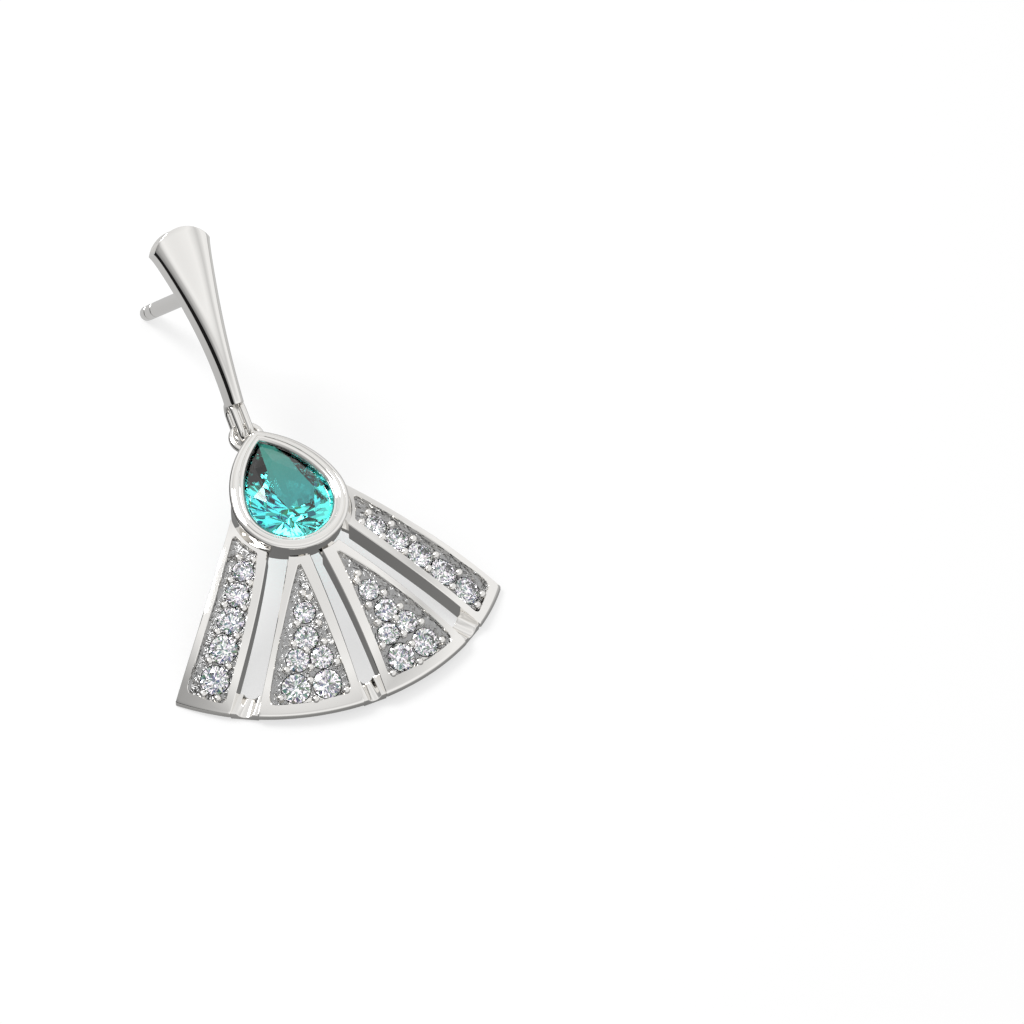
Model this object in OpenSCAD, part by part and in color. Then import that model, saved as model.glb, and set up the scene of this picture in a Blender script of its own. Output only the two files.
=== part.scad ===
/* [Fan plate] */
// Radius of the fan's outer arc, seen square on
fan_r = 12.92; // [12.5:0.01:13.2]
// Centre of the outer arc, measured from the centre of the pear's round end
fan_y = 2.07; // [1.8:0.01:2.4]
// Radius of the ball that the fan's face is part of
face_r = 18; // [17:0.1:20]
// Depth of the ball's centre below the face at the fan's inner end
face_drop = 17.27; // [16.5:0.01:18.5]
// Thickness of the plate, measured straight down
plate_t = 1.15; // [0.9:0.05:1.4]
// Height of the plain edge round the outer arc
rim_edge = 0.29; // [0.2:0.01:0.35]
// How far the plate is cut back under the outer arc
undercut = 0.95; // [0.7:0.05:1.1]
// Width of the bridges that close the slots at the outer arc
bridge_w = 1.2; // [1:0.05:1.4]
// Depth of the bridges' inner edge below the face
bridge_drop = 0.73; // [0.6:0.01:0.8]
// Depth of the beds that the small stones sit in
bed_depth = 0.3; // [0.2:0.01:0.35]

/* [Pear cup] */
// Radius of the cup's round end, outside
cup_r = 3.29; // [3.2:0.01:3.4]
// Distance from the round end's centre to the tip, outside
cup_tip = 4.92; // [4.9:0.01:5.0]
// Angle at which the sides leave the round end
cup_turn = 10; // [7:0.5:12]
// Tilt of the cup, tip up
cup_pitch = 14; // [12:0.5:15]
// Height of the cup's rim over the fan's inner end
cup_rise = 1.05; // [1:0.01:1.15]
// Radius of the pear stone's round end
pear_r = 2.5; // [2.46:0.01:2.5]
// Distance from the round end's centre to the pear stone's tip
pear_tip = 4.28; // [4.24:0.01:4.28]
// Radius round the cup inside which only thin ledges join it to the fan
moat_r = 3.39; // [3.35:0.01:3.45]
// Thickness of those ledges
ledge_t = 0.25; // [0.2:0.01:0.35]

/* [Small stones] */
// Radius of the metal beads between the stones
bead_r = 0.21; // [0.18:0.01:0.22]
// Distance of the beads from the middle line of the outer row
bead_aside = 0.55; // [0.52:0.01:0.57]
// The same distance, for the beads at both ends of the row
bead_aside_end = 0.42; // [0.38:0.01:0.45]
// Gap between a stone and its seat
seat_gap = 0.04; // [0.03:0.01:0.05]

/* [Links] */
// Radius of the wire of the drop's ring
ring_wire = 0.2; // [0.18:0.01:0.21]
// Radius of the drop's ring, to the middle of its wire
ring_r = 0.85; // [0.82:0.01:0.88]
// Radius of the wire of the twin loops
loop_wire = 0.21; // [0.19:0.01:0.22]
// Radius of the loops' round ends, to the middle of the wire
loop_r = 0.68; // [0.66:0.01:0.7]
// Length of the loops' straight sides
loop_len = 1.0; // [0.9:0.05:1.1]
// Distance of each loop's middle plane from the earring's middle plane
loop_x = 0.26; // [0.25:0.01:0.3]

/* [Stud bar] */
// Length of the bar, up to the ends of its arched top
bar_len = 9.4; // [9.2:0.05:9.6]
// Height of the arch on the bar's top end
bar_arch = 1.05; // [0.9:0.05:1.2]
// Half width at the bar's lower end
bar_half_0 = 0.3; // [0.27:0.01:0.35]
// Half width at the bar's upper end
bar_half_1 = 1.74; // [1.7:0.01:1.85]
// Thickness at the middle of the lower end
bar_t0 = 2.6; // [2.4:0.05:2.8]
// Thickness at the middle of the upper end
bar_t1 = 1.9; // [1.7:0.05:2]
// Height of the flat side wall at the lower end
bar_side_0 = 0.8; // [0.6:0.05:1]
// Height of the flat side wall at the upper end
bar_side_1 = 1.2; // [1:0.05:1.3]
// How far the middle of the bar's back bows out
bar_bow = 0.45; // [0.3:0.05:0.6]
// Pitch of the line between the bar's ends against the fan's inner end
bar_pitch = 45.8; // [45.5:0.1:46]

/* [Ear post] */
// Radius of the ear post
post_r = 0.45; // [0.4:0.01:0.45]
// Length of the post from the line between the bar's ends to the tip
post_len = 11.24; // [11:0.01:11.5]
// Distance of the post from the bar's lower end
post_at = 6.7; // [6.5:0.01:6.9]
// Length of the plain post, from the bar's back to the first groove
post_plain = 8.25; // [8:0.05:8.5]
// Depth of the two grooves that hold the clutch
groove_d = 0.07; // [0.05:0.01:0.1]

/* [Hidden] */
$fn = 48;
// The small stones' places on the right half, each with x, y and radius
OUTER_STONES = [
    [4.02, -2.49, 0.62],
    [4.86, -3.52, 0.69],
    [5.73, -4.57, 0.76],
    [6.67, -5.59, 0.80],
    [7.66, -6.56, 0.80],
];
INNER_STONES = [
    [1.95, -6.00, 0.60],
    [2.40, -7.17, 0.66],
    [3.28, -7.92, 0.64],
    [2.01, -8.28, 0.62],
    [3.90, -8.98, 0.80],
    [2.24, -9.42, 0.79],
];
// The beads' places on the right inner blade, each with x and y
INNER_BEADS = [
    [1.67, -5.11], [1.45, -5.45], [2.62, -6.40], [1.52, -6.80], [3.20, -7.22], [1.62, -7.72],
    [2.68, -7.72], [2.80, -8.50], [4.05, -8.10], [1.38, -8.78], [3.05, -9.00], [4.85, -9.02],
    [3.12, -9.80], [1.40, -10.02],
];
STONE_COUNT_OUTER = len(OUTER_STONES);
STONE_COUNT_INNER = len(INNER_STONES);

metal_grey = [0.88, 0.87, 0.86];
stone_white = [0.93, 0.96, 1.0];
pear_teal = [0.1, 0.5, 0.45];

// Right edges of the fan's blades and slots, each from the cup to the arc, with its bow
edge_steps = 6;
blade_side = [[3.3, 0.7], [9.92, -6.22], 0.31];
slot_outside = [[2.45, -2.32], [7.61, -8.37], 0.3];
slot_inside = [[1.52, -3.03], [6.34, -9.19], 0.18];
middle_slot_top = [0.36, -3.37];
middle_slot_end = [0.657, -10.83];
plate_hole_r = 2.6;
// How far the slots run on past the arc, and back into the cup's wall
past_arc = 2;
into_cup = 0.7;
face_in = 1;
face_steps = 8;
bridge_edge = 0.16;
bridge_inset = 0.12;
bridge_below = 2;
corner_steps = 4;
overcut = 6;
// Heights of the cup's floor and of the ledges' underside
cup_floor = -1.05;
ledge_z = -0.75;

// Beds of the small stones: corners with the radius of each one's rounding
inner_bed = [
    [1.12, -3.70, 0.05], [1.26, -3.70, 0.05], [3.75, -6.85, 0], [5.61, -9.08, 0.35],
    [3.42, -9.98, 0], [1.13, -10.25, 0.4],
];
outer_bed_side = [[3.60, -0.34], [9.22, -6.17], 0.24];
outer_bed_inside = [[2.98, -2.07], [7.68, -7.85], 0.3];
outer_bed_top_r = 3.62;
// Rounding of the outer bed's corners: its side's top and arc end, then its inner edge's arc end and top
outer_bed_r = [0.12, 0.3, 0.3, 0.3];

// The cup's section: distance out from its outline, and height over the rim's widest edge
cup_section = [
    [-0.91, -0.12], [-0.80, 0.02], [-0.58, 0.13], [-0.32, 0.14], [-0.10, 0.07], [0, -0.06],
    [-0.03, -0.14], [-0.22, -0.22], [-0.22, -2.40], [-1.15, -2.40], [-1.15, -0.98], [-0.75, -0.60],
    [-0.75, -0.24],
];
cup_points = 48;
tip_share = 0.79;
girdle_drop = 0.42;

// Proportions of a cut stone, as shares of its radius
table_share = 0.57;
star_share = 0.8;
crown_share = 0.32;
girdle_share = 0.06;
pavilion_share = 0.86;
lower_share = 0.25;
pear_crown = 0.3;
pear_pavilion = 0.78;
pear_girdle = 0.12;
full_turn = 360;
facet_half = full_turn / 16;

// The seat under a small stone: its reach over the stone, its opening and its depth through the plate
seat_over = 0.6;
seat_open_share = 0.5;
seat_through = 3;

ring_y = 5.94;
ring_z = 0.65;
loop_y = 6.95;
loop_z = 1.04;
loop_pitch = 37;
bar_y = 8.38;
bar_z = 1.07;
// Squareness of the bar's rounded front at the lower end and at the top, and the counts of its points
bar_power_0 = 4.6;
bar_power_1 = 2.4;
bar_rings = 12;
bar_front_steps = 6;
// How fast the arch of the top end fades along the bar
arch_power = 8;
groove_w = 0.24;
groove_step = 1.47;
post_inside = 0.5;

// Angle and shifts that lay the earring on the fan's two corners and the post's tip
corner_low_r = fan_r - undercut;
side_run = blade_side[1] - blade_side[0];
side_dir = side_run / norm(side_run);
corner_y = blade_side[1][1] - undercut * side_dir[1];
corner_z = face_z(corner_low_r) - plate_t;
post_y = bar_y + post_at * cos(bar_pitch);
post_z = bar_z + post_at * sin(bar_pitch);
tip_y = post_y + (post_len - post_r) * sin(bar_pitch);
tip_z = post_z - (post_len - post_r) * cos(bar_pitch);
tip_run = norm([tip_y - corner_y, tip_z - corner_z]);
lay_pitch = atan2(tip_z - corner_z, tip_y - corner_y) - asin(post_r / tip_run);
lay_z = corner_y * sin(lay_pitch) - corner_z * cos(lay_pitch);
front_y = (fan_y - fan_r) * cos(lay_pitch) + (face_z(fan_r) - rim_edge) * sin(lay_pitch);
back_y = tip_y * cos(lay_pitch) + tip_z * sin(lay_pitch) + post_r;
lay_y = -(front_y + back_y) / 2;

// Height of the face at a distance from the arc's centre
function face_z(rho) = sqrt(face_r * face_r - rho * rho) - face_drop;

function face_point(p) = [p[0], p[1], face_z(norm([p[0], p[1] - fan_y]))];

// Points along an edge that bows towards the middle plane
function bowed(edge, steps = edge_steps) =
    let (a = edge[0], b = edge[1], d = b - a, side = [d[1], -d[0]] / norm(d))
    [for (i = [0:steps]) let (t = i / steps) a + t * d + 4 * t * (1 - t) * edge[2] * side];

// The last stretch of an edge, carried on past the arc
function beyond(points) =
    let (n = len(points), d = points[n - 1] - points[n - 2])
    concat(points, [points[n - 1] + past_arc * d / norm(d)]);

function reversed(list) = [for (i = [len(list) - 1:-1:0]) list[i]];

// An outline whose corners, each given with a radius, are rounded
function rounded(corners) = [
    for (i = [0:len(corners) - 1])
        let (
            n = len(corners),
            c = corners[i],
            p = [c[0], c[1]],
            a = [corners[(i + n - 1) % n][0], corners[(i + n - 1) % n][1]] - p,
            b = [corners[(i + 1) % n][0], corners[(i + 1) % n][1]] - p,
            ua = a / norm(a),
            ub = b / norm(b),
            half = acos(ua * ub) / 2,
            to_centre = (ua + ub) / norm(ua + ub) * c[2] / sin(half),
            reach = c[2] / tan(half),
            from_centre = ua * reach - to_centre,
            on_to = ub * reach - to_centre,
            start = atan2(from_centre[1], from_centre[0]),
            stop = atan2(on_to[1], on_to[0]),
            turn = (stop - start + 1.5 * full_turn) % full_turn - full_turn / 2
        )
        for (k = [0:(c[2] > 0 ? corner_steps : 0)])
            c[2] > 0
                ? p + to_centre
                    + c[2] * [cos(start + turn * k / corner_steps), sin(start + turn * k / corner_steps)]
                : p
];

// Distance from the centre to a pear outline in one direction
function pear_reach(angle, r, tip) =
    let (
        k = (tip * tip - r * r) / (2 * (r - tip * sin(cup_turn))),
        c = [-k * cos(cup_turn), -k * sin(cup_turn)],
        across = abs(cos(angle)),
        d = [across, sin(angle)],
        along = d * c
    )
    sin(angle) < sin(cup_turn) ? r : along + sqrt(along * along - c * c + (r + k) * (r + k));

function pear_point(angle, r, tip) = pear_reach(angle, r, tip) * [cos(angle), sin(angle)];

// A cut stone on a closed girdle line whose point count is 16 times m
module cut_stone(girdle, m, table_h, girdle_h, depth, rise) {
    n = len(girdle);
    step = 2 * m;
    lift = girdle_h / 2;
    star_h = lift + table_h * (1 - star_share * cos(facet_half)) / (1 - table_share);
    lower_h = -lift - depth * (1 - lower_share * cos(facet_half));
    points = concat(
        [for (p = girdle) [p[0], p[1], lift]],
        [for (p = girdle) [p[0], p[1], -lift]],
        [for (k = [0:7]) let (p = girdle[k * step]) [p[0] * table_share, p[1] * table_share, lift + table_h]],
        [for (k = [0:7]) let (p = girdle[k * step + m]) [p[0] * star_share, p[1] * star_share, star_h]],
        [for (k = [0:7]) let (p = girdle[k * step + m]) [p[0] * lower_share, p[1] * lower_share, lower_h]],
        [[0, 0, -lift - depth]]
    );
    table = 2 * n;
    star = table + 8;
    lower = star + 8;
    culet = lower + 8;
    faces = concat(
        [[for (k = [0:7]) table + k]],
        [for (k = [0:7]) [table + k, star + k, table + (k + 1) % 8]],
        [for (k = [0:7]) [table + k, k * step, star + k]],
        [for (k = [0:7]) [table + (k + 1) % 8, star + k, ((k + 1) * step) % n]],
        [for (k = [0:7]) for (i = [0:step - 1]) [star + k, k * step + i, (k * step + i + 1) % n]],
        [for (i = [0:n - 1]) [i, n + i, n + (i + 1) % n]],
        [for (i = [0:n - 1]) [i, n + (i + 1) % n, (i + 1) % n]],
        [
            for (k = [0:7]) for (i = [0:step - 1])
                [lower + k, n + (k * step + i + 1) % n, n + k * step + i]
        ],
        [for (k = [0:7]) [culet, lower + k, n + k * step]],
        [for (k = [0:7]) [culet, n + ((k + 1) * step) % n, lower + k]]
    );
    translate([0, 0, rise])
        polyhedron(points = points, faces = [for (f = faces) reversed(f)]);
}

// A closed tube whose section runs round the pear outline
module pear_wall() {
    n = cup_points;
    m = len(cup_section);
    points = [
        for (i = [0:n - 1]) for (s = cup_section)
            let (
                p = pear_point(90 + full_turn * i / n, cup_r + s[0], cup_tip + tip_share * s[0]),
                floor_h = (cup_floor - cup_rise - p[1] * sin(cup_pitch)) / cos(cup_pitch)
            )
            [p[0], p[1], max(s[1], floor_h)]
    ];
    faces = [
        for (i = [0:n - 1]) for (j = [0:m - 1])
            let (
                next_i = (i + 1) % n,
                next_j = (j + 1) % m,
                a = i * m + j,
                b = i * m + next_j,
                c = next_i * m + next_j,
                d = next_i * m + j
            )
            for (f = [[a, c, b], [a, d, c]]) f
    ];
    polyhedron(points = points, faces = faces);
}

// Lays the finished earring on its resting plane
module laid_down() {
    translate([0, lay_y, lay_z]) rotate([-lay_pitch, 0, 0]) children();
}

module in_cup() {
    translate([0, 0, cup_rise]) rotate([cup_pitch, 0, 0]) children();
}

// Stands its children on the face at a place, square to the face
module on_face(place, depth) {
    tilt = asin(norm([place[0], place[1] - fan_y]) / face_r);
    translate(face_point(place) - [0, 0, depth])
        rotate([0, tilt, atan2(place[1] - fan_y, place[0])])
            children();
}

module both_sides() {
    children();
    mirror([1, 0, 0]) children();
}

// The face's curve, lowered by a depth, from the middle out to a radius
function face_curve(depth, to) = [
    for (i = [0:face_steps]) let (rho = face_in + (to - face_in) * i / face_steps)
        [rho, face_z(rho) - depth]
];

// Turns a profile about the arc's centre
module turned(profile) {
    translate([0, fan_y, 0]) rotate_extrude() polygon(profile);
}

module prism(outline) {
    translate([0, 0, -overcut]) linear_extrude(height = 2 * overcut) polygon(outline);
}

// An edge carried back into the cup's wall and on past the arc
function whole_edge(edge) =
    let (points = beyond(bowed(edge)), d = points[0] - points[1])
    concat([points[0] + into_cup * d / norm(d)], points);

module side_slot() {
    prism(concat(whole_edge(slot_outside), reversed(whole_edge(slot_inside))));
}

module middle_slot() {
    run = middle_slot_end - middle_slot_top;
    top = middle_slot_top - into_cup * run / norm(run);
    end = middle_slot_end + past_arc * run / norm(run);
    prism([top, end, [-end[0], end[1]], [-top[0], top[1]]]);
}

// A ring under the arc that the slots leave standing
module bridge_ring() {
    inside = fan_r - bridge_w;
    top = face_z(inside) - bridge_drop;
    foot = face_z(corner_low_r) - plate_t;
    outer = fan_r - bridge_inset;
    low = foot - bridge_below;
    turned([[inside, top], [outer, foot + bridge_edge], [outer, low], [inside, low]]);
}

// The whole fan turned as a dished plate with an undercut rim
module dished_plate() {
    turned(concat(
        face_curve(0, fan_r),
        [[fan_r, face_z(fan_r) - rim_edge]],
        reversed(face_curve(plate_t, corner_low_r))
    ));
}

// The space over the floor of the beds
module over_beds() {
    turned(concat(face_curve(bed_depth, fan_r), [[fan_r, overcut], [face_in, overcut]]));
}

module fan_outline() {
    right = beyond(bowed(blade_side));
    left = [for (p = right) [-p[0], p[1]]];
    prism(concat(right, [[0, fan_y - fan_r - past_arc]], reversed(left)));
}

module outer_bed() {
    a = bowed(outer_bed_side);
    b = bowed(outer_bed_inside);
    n = len(a) - 1;
    r = outer_bed_r;
    top = (a[0] + b[0]) / 2;
    middle = top * outer_bed_top_r / norm(top);
    prism(rounded(concat(
        [for (i = [0:n]) [a[i][0], a[i][1], i == 0 ? r[0] : i == n ? r[1] : 0]],
        [for (i = [n:-1:0]) [b[i][0], b[i][1], i == n ? r[2] : i == 0 ? r[3] : 0]],
        [[middle[0], middle[1], 0]]
    )));
}

module bead(place) {
    on_face(place, bed_depth) sphere(r = bead_r, $fn = 24);
}

// Beads beside the outer row: at its top, between the stones and at its end
module outer_beads() {
    n = STONE_COUNT_OUTER;
    for (i = [0:n]) {
        a = i == 0 ? 2 * OUTER_STONES[0] - OUTER_STONES[1] : OUTER_STONES[i - 1];
        b = i == n ? 2 * OUTER_STONES[n - 1] - OUTER_STONES[n - 2] : OUTER_STONES[i];
        middle = [a[0] + b[0], a[1] + b[1]] / 2;
        run = [b[0] - a[0], b[1] - a[1]];
        side = [-run[1], run[0]] / norm(run);
        reach = (i == 0 || i == n) ? bead_aside_end : bead_aside;
        for (s = [-1, 1]) bead(middle + s * reach * side);
    }
}

// The open seat under a small stone
module seat(s) {
    r = s[2] + seat_gap;
    girdle = -girdle_share * s[2] - seat_gap;
    open_r = seat_open_share * s[2];
    on_face(s, bed_depth)
        rotate_extrude()
            polygon([
                [0, seat_over], [r, seat_over], [r, girdle],
                [open_r, girdle - (r - open_r) * pavilion_share],
                [open_r, -seat_through], [0, -seat_through],
            ]);
}

// The space round the cup, over and under the thin ledges
module moat() {
    translate([0, 0, ledge_z + ledge_t]) cylinder(r = moat_r, h = overcut);
    translate([0, 0, ledge_z - overcut]) cylinder(r = moat_r, h = overcut);
    translate([0, 0, -overcut]) cylinder(r = plate_hole_r, h = 2 * overcut);
}

module fan_plate() {
    difference() {
        intersection() {
            dished_plate();
            fan_outline();
        }
        moat();
        difference() {
            union() {
                middle_slot();
                both_sides() side_slot();
            }
            bridge_ring();
        }
        intersection() {
            both_sides() {
                prism(rounded(inner_bed));
                outer_bed();
            }
            over_beds();
        }
    }
}

// Fan, cup and ring, soldered into one solid
module drop_frame() {
    color(metal_grey) laid_down() {
        difference() {
            union() {
                fan_plate();
                both_sides() {
                    for (p = INNER_BEADS) bead(p);
                    outer_beads();
                }
            }
            both_sides() {
                for (s = INNER_STONES) seat(s);
                for (s = OUTER_STONES) seat(s);
            }
        }
        in_cup() pear_wall();
        translate([0, ring_y, ring_z]) rotate([cup_pitch, 0, 0])
            rotate_extrude() translate([ring_r, 0]) circle(r = ring_wire, $fn = 24);
    }
}

module pear_stone() {
    girdle = [for (i = [0:31]) pear_point(90 + full_turn * i / 32, pear_r, pear_tip)];
    color(pear_teal) laid_down() in_cup()
        cut_stone(girdle, 2, pear_crown * pear_r, pear_girdle, pear_pavilion * pear_r, -girdle_drop);
}

module small_stone(s, side) {
    r = s[2];
    girdle = [for (i = [0:15]) r * [cos(facet_half * i), sin(facet_half * i)]];
    color(stone_white) laid_down()
        on_face([side * s[0], s[1]], bed_depth)
            cut_stone(girdle, 1, crown_share * r, girdle_share * r, pavilion_share * r, 0);
}

// One of the twin loops, in its own plane, long way along x
module wire_loop() {
    for (s = [-1, 1]) {
        translate([s * loop_len / 2, 0, 0]) rotate([0, 0, s < 0 ? 90 : -90])
            rotate_extrude(angle = 180) translate([loop_r, 0]) circle(r = loop_wire, $fn = 24);
        translate([-loop_len / 2, s * loop_r, 0]) rotate([0, 90, 0])
            cylinder(r = loop_wire, h = loop_len, $fn = 24);
    }
}

function mix(a, b, t) = a + (b - a) * t;

// How far the arched top stands over the bar's corners, across the bar
function arch_lift(x) =
    let (r = (bar_half_1 * bar_half_1 + bar_arch * bar_arch) / (2 * bar_arch))
    sqrt(r * r - x * x) - r + bar_arch;

// How far the bowed bar's back stands off the line between its ends
function bar_lift(t) = bar_bow * 4 * t * (1 - t);

// A place across the bar's front, from -1 to 1, with its share of the front's rise
function bar_front(i, power) =
    let (a = 90 * i / bar_front_steps, k = 2 / power)
    [sign(i) * pow(abs(sin(a)), k), pow(max(0, cos(a)), k)];

// The flared and bowed bar: flat side walls and a rounded front under an arched top
module bar_body() {
    n = 2 * bar_front_steps + 1;
    points = [
        for (i = [0:bar_rings])
            let (
                t = i / bar_rings,
                half = mix(bar_half_0, bar_half_1, t * t),
                side = mix(bar_side_0, bar_side_1, t),
                rise = mix(bar_t0, bar_t1, t) - side,
                power = mix(bar_power_0, bar_power_1, t)
            )
            for (j = [0:2 * n - 1])
                let (
                    p = bar_front((j < n ? j : 2 * n - 1 - j) - bar_front_steps, power),
                    x = half * p[0],
                    z = j < n ? side + rise * p[1] : 0
                )
                [x, bar_len * t + arch_lift(x) * pow(t, arch_power), z + bar_lift(t)]
    ];
    last = bar_rings * 2 * n;
    faces = concat(
        [
            for (i = [0:bar_rings - 1]) for (j = [0:2 * n - 1])
                let (
                    a = i * 2 * n + j,
                    b = i * 2 * n + (j + 1) % (2 * n),
                    c = b + 2 * n,
                    d = a + 2 * n
                )
                for (f = [[a, b, c], [a, c, d]]) f
        ],
        [
            for (j = [0:n - 2]) let (low = 2 * n - 1 - j)
                for (f = [[j, low, low - 1], [j, low - 1, j + 1]]) f
        ],
        [
            for (j = [0:n - 2]) let (low = last + 2 * n - 1 - j, up = last + j)
                for (f = [[up, low - 1, low], [up, up + 1, low - 1]]) f
        ]
    );
    polyhedron(points = points, faces = [for (f = faces) reversed(f)]);
}

// The ear post, from inside the bar down to its rounded tip
module ear_post() {
    grooves = [
        for (k = [0:1]) let (z = post_plain + k * groove_step)
            for (p = [[post_r, z], [post_r - groove_d, z + groove_w / 2], [post_r, z + groove_w]]) p
    ];
    ball_steps = 5;
    ball = [for (i = [0:ball_steps - 1]) let (a = 90 * i / ball_steps)
        [post_r * cos(a), post_len - post_r + post_r * sin(a)]];
    inside = -post_inside - bar_lift(post_at / bar_len);
    rotate([180, 0, 0]) rotate_extrude()
        polygon(concat([[0, inside], [post_r, inside]], grooves, ball, [[0, post_len]]));
}

// Bar, twin loops and post, soldered into one solid
module stud() {
    color(metal_grey) laid_down() {
        translate([0, bar_y, bar_z]) rotate([bar_pitch, 0, 0]) {
            bar_body();
            translate([0, post_at, 0]) ear_post();
        }
        for (s = [-1, 1])
            translate([s * loop_x, loop_y, loop_z])
                rotate([loop_pitch, 0, 0]) rotate([0, 0, 90]) rotate([90, 0, 0])
                    wire_loop();
    }
}

drop_frame();
pear_stone();
stud();
for (i = [1:STONE_COUNT_OUTER]) {
    small_stone(OUTER_STONES[i - 1], -1);
    small_stone(OUTER_STONES[i - 1], 1);
}
for (i = [1:STONE_COUNT_INNER]) {
    small_stone(INNER_STONES[i - 1], -1);
    small_stone(INNER_STONES[i - 1], 1);
}
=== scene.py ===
"""Drop earring: polished white metal, a teal pear stone and small clear stones, lying on a pale floor."""
import math

import bpy
from mathutils import Matrix, Vector


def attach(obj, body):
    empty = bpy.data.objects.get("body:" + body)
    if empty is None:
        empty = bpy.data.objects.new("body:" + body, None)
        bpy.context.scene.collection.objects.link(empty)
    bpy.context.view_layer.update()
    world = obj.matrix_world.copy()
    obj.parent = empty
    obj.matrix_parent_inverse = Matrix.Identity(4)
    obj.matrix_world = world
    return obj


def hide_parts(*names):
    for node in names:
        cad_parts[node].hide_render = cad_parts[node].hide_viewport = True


bl_info = {
    "name": "Drop Earring Maker",
    "version": (1, 0, 0),
    "blender": (4, 5, 0),
    "location": "View3D > Sidebar > Earring",
    "description": "Dresses a drop earring with polished metal, cut stones and a studio",
    "category": "Object",
}

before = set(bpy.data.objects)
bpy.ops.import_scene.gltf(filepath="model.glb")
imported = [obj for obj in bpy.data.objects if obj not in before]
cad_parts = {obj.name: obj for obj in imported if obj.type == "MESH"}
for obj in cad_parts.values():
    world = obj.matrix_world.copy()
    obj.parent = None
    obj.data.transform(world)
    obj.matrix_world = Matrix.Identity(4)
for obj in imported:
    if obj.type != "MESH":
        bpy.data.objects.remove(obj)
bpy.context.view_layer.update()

MM = 0.001
BODY = "root"

# The earring's own sizes in millimetres, in the drop's frame: x across, y towards the stud, z off the fan
FAN_R = 12.92
FAN_Y = 2.07
FACE_R = 18.0
FACE_DROP = 17.27
PLATE_T = 1.15
RIM_EDGE = 0.29
UNDERCUT = 0.95
BRIDGE_W = 1.2
BRIDGE_DROP = 0.73
BED_DEPTH = 0.3
MOAT_R = 3.39
LEDGE_T = 0.25
LEDGE_IN = 2.9
LEDGE_Z = -0.75
CUP_FLOOR = -1.05
CUP_R = 3.29
CUP_TIP = 4.92
CUP_TURN = 10.0
CUP_PITCH = 14.0
CUP_RISE = 1.05
TIP_SHARE = 0.79
BEAD_R = 0.25
BEAD_LIFT = 0.07
SEAT_GAP = 0.04
PAVILION_SHARE = 0.86
RING_WIRE = 0.2
RING_R = 0.85
RING_AT = (5.94, 0.65)
LOOP_WIRE = 0.21
LOOP_R = 0.68
LOOP_LEN = 1.0
LOOP_X = 0.26
LOOP_AT = (6.95, 1.04)
LOOP_PITCH = 37.0
BAR_LEN = 9.4
BAR_ARCH = 1.05
BAR_HALF = (0.46, 1.72)
BAR_T = (1.45, 1.8)
BAR_SIDE = (0.7, 1.2)
BAR_POWER = 2.2
BAR_BOW = 0.42
BAR_RAISE = 0.72
ARCH_POWER = 8
BAR_PITCH = 45.8
BAR_AT = (8.38, 1.07)
POST_R = 0.45
POST_LEN = 11.24
POST_AT = 6.7
POST_PLAIN = 8.25
GROOVE_D = 0.07
GROOVE_W = 0.24
GROOVE_STEP = 1.47
GROOVE_EASE = 0.02
GROOVE_LIP = 0.03
POST_SUNK = 0.1

# Right edges of blades and slots, from the cup to the arc, each with its bow towards the middle
BLADE_SIDE = ((3.3, 0.7), (9.92, -6.22), 0.31)
SLOT_OUTSIDE = ((2.45, -2.32), (7.61, -8.37), 0.3)
SLOT_INSIDE = ((1.52, -3.03), (6.34, -9.19), 0.18)
MIDDLE_SLOT = ((0.36, -3.37), (0.657, -10.83), 0.0)
# Edges of the stones' beds, in the same way
OUTER_BED_SIDE = ((3.60, -0.34), (9.22, -6.17), 0.24)
OUTER_BED_INSIDE = ((2.98, -2.07), (7.68, -7.85), 0.3)
INNER_BED_SIDE = ((1.26, -3.70), (5.61, -9.08), -0.03)
INNER_BED_INSIDE = ((1.12, -3.70), (1.13, -10.25), 0.0)

# Small stones on the right half, each with x, y and radius
OUTER_STONES = (
    (4.02, -2.49, 0.62),
    (4.86, -3.52, 0.69),
    (5.73, -4.57, 0.76),
    (6.67, -5.59, 0.80),
    (7.66, -6.56, 0.80),
)
INNER_STONES = (
    (1.95, -6.00, 0.60),
    (2.40, -7.17, 0.66),
    (3.28, -7.92, 0.64),
    (2.01, -8.28, 0.62),
    (3.90, -8.98, 0.80),
    (2.24, -9.42, 0.79),
)
# Beads on the right inner blade, each with x and y
INNER_BEADS = (
    (1.67, -5.11), (1.45, -5.45), (2.62, -6.40), (1.52, -6.80), (3.20, -7.22), (1.62, -7.72),
    (2.68, -7.72), (2.80, -8.50), (4.05, -8.10), (1.38, -8.78), (3.05, -9.00), (4.85, -9.02),
    (3.12, -9.80), (1.40, -10.02),
)

# The camera, fitted in the drop's frame
VIEW_TURN = -26.66
VIEW_RISE = 44.27
VIEW_AWAY = 213.3
VIEW_ASIDE = 12.29
LENS_MM = 135.0
SENSOR_MM = 36.0
NEAR_CLIP = 0.01

# The floor, in metres: white to the camera, graded grey where metal and stones reflect it; that grey is a
# painted reflection, with painted shadow near the earring
FLOOR_SIZE = 1.2
FLOOR_CUTS = 4
FLOOR_COLOUR = (0.94, 0.94, 0.94, 1.0)
FLOOR_ROUGHNESS = 0.9
SHADE_CENTRE = (0.0, -0.008, 0.0)
SHADE_REACH = 0.04
FLOOR_SHADES = ((0.0, 0.16), (0.2, 0.2), (0.38, 0.5), (1.0, 0.62))
DARK_STRIP = (-0.0145, -0.0135)
STRIP_SHADE = 0.02
STONE_FLOOR = 0.42
GLOW_STRENGTH = 1.03
GLOW_SHARE = 0.6

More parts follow.
